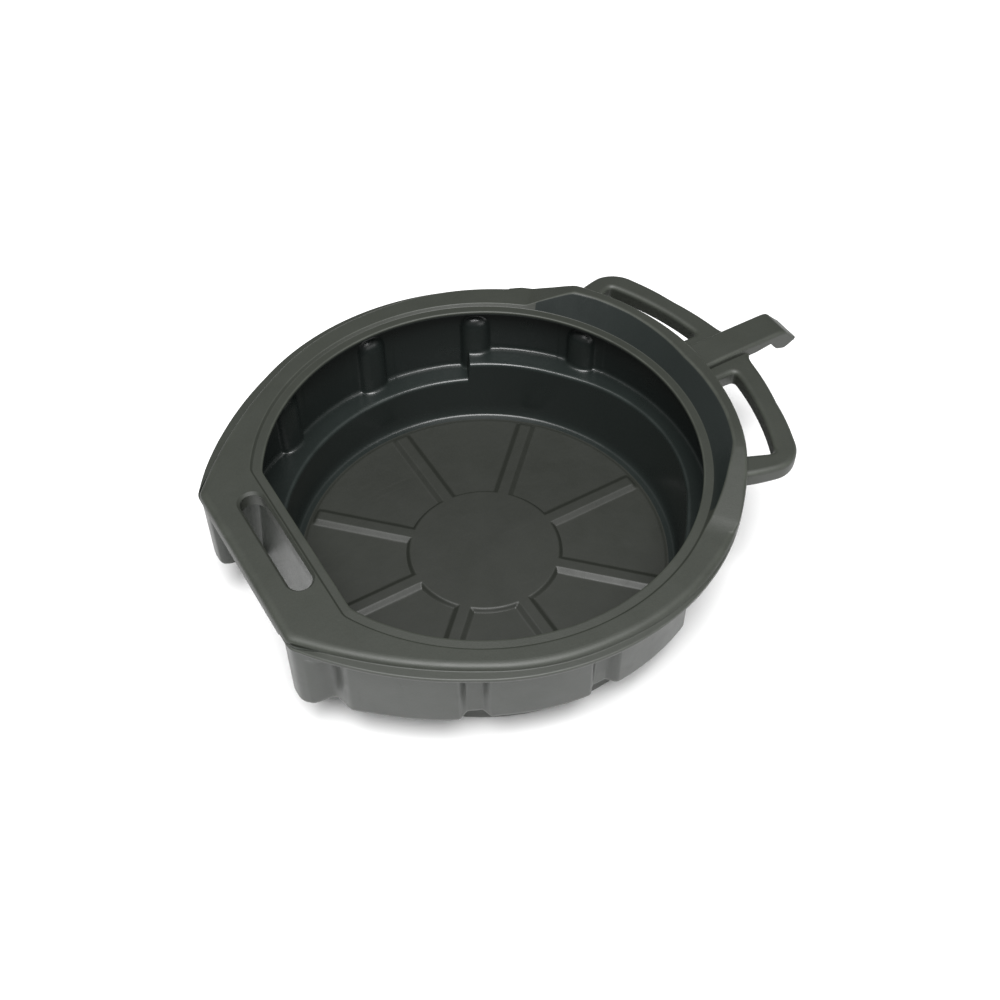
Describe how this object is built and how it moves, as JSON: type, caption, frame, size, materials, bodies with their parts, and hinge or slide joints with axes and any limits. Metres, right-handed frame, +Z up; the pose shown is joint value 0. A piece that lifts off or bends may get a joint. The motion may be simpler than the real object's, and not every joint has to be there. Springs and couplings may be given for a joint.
{
  "type": "oil drain pan",
  "caption": "Round open plastic pan with a ribbed floor, splash lip, raised spout guard, front hand grip, two loop handles and a hook arm.",
  "frame": {"origin": "centre of the round pan, on the plane its foot ring stands on", "axes": "+Z up; +X from the front grip towards the hook arm; +Y to the left when looking along +X"},
  "size_m": [0.5901, 0.475, 0.1587],
  "materials": {
    "black_plastic": "satin to matt black moulded polyethylene with a fine grain"
  },
  "bodies": {
    "root": {"floor_centre_disc": "black_plastic", "floor_rib_1": "black_plastic", "floor_rib_2": "black_plastic", "floor_rib_3": "black_plastic", "floor_rib_4": "black_plastic", "floor_rib_5": "black_plastic", "floor_rib_6": "black_plastic", "floor_rib_7": "black_plastic", "floor_rib_8": "black_plastic", "floor_panel_1": "black_plastic", "floor_panel_2": "black_plastic", "floor_panel_3": "black_plastic", "floor_panel_4": "black_plastic", "floor_panel_5": "black_plastic", "floor_panel_6": "black_plastic", "floor_panel_7": "black_plastic", "floor_panel_8": "black_plastic", "foot_ring": "black_plastic", "bowl_wall_grip_side": "black_plastic", "bowl_wall_spout_side": "black_plastic", "shelf_riser_left": "black_plastic", "shelf_riser_right": "black_plastic", "shelf_grip_side": "black_plastic", "shelf_spout_side": "black_plastic", "upper_wall_spout_side": "black_plastic", "upper_wall_behind_grip": "black_plastic", "corner_lobe_left": "black_plastic", "corner_lobe_right": "black_plastic", "upper_wall_left": "black_plastic", "upper_wall_right": "black_plastic", "splash_lip": "black_plastic", "grip_front": "black_plastic", "rim_left": "black_plastic", "rim_right": "black_plastic", "flange_left": "black_plastic", "flange_right": "black_plastic", "spout_guard": "black_plastic", "loop_handle_left": "black_plastic", "loop_handle_right": "black_plastic", "hook_arm": "black_plastic", "hook_tip": "black_plastic"}
  },
  "joints": []
}
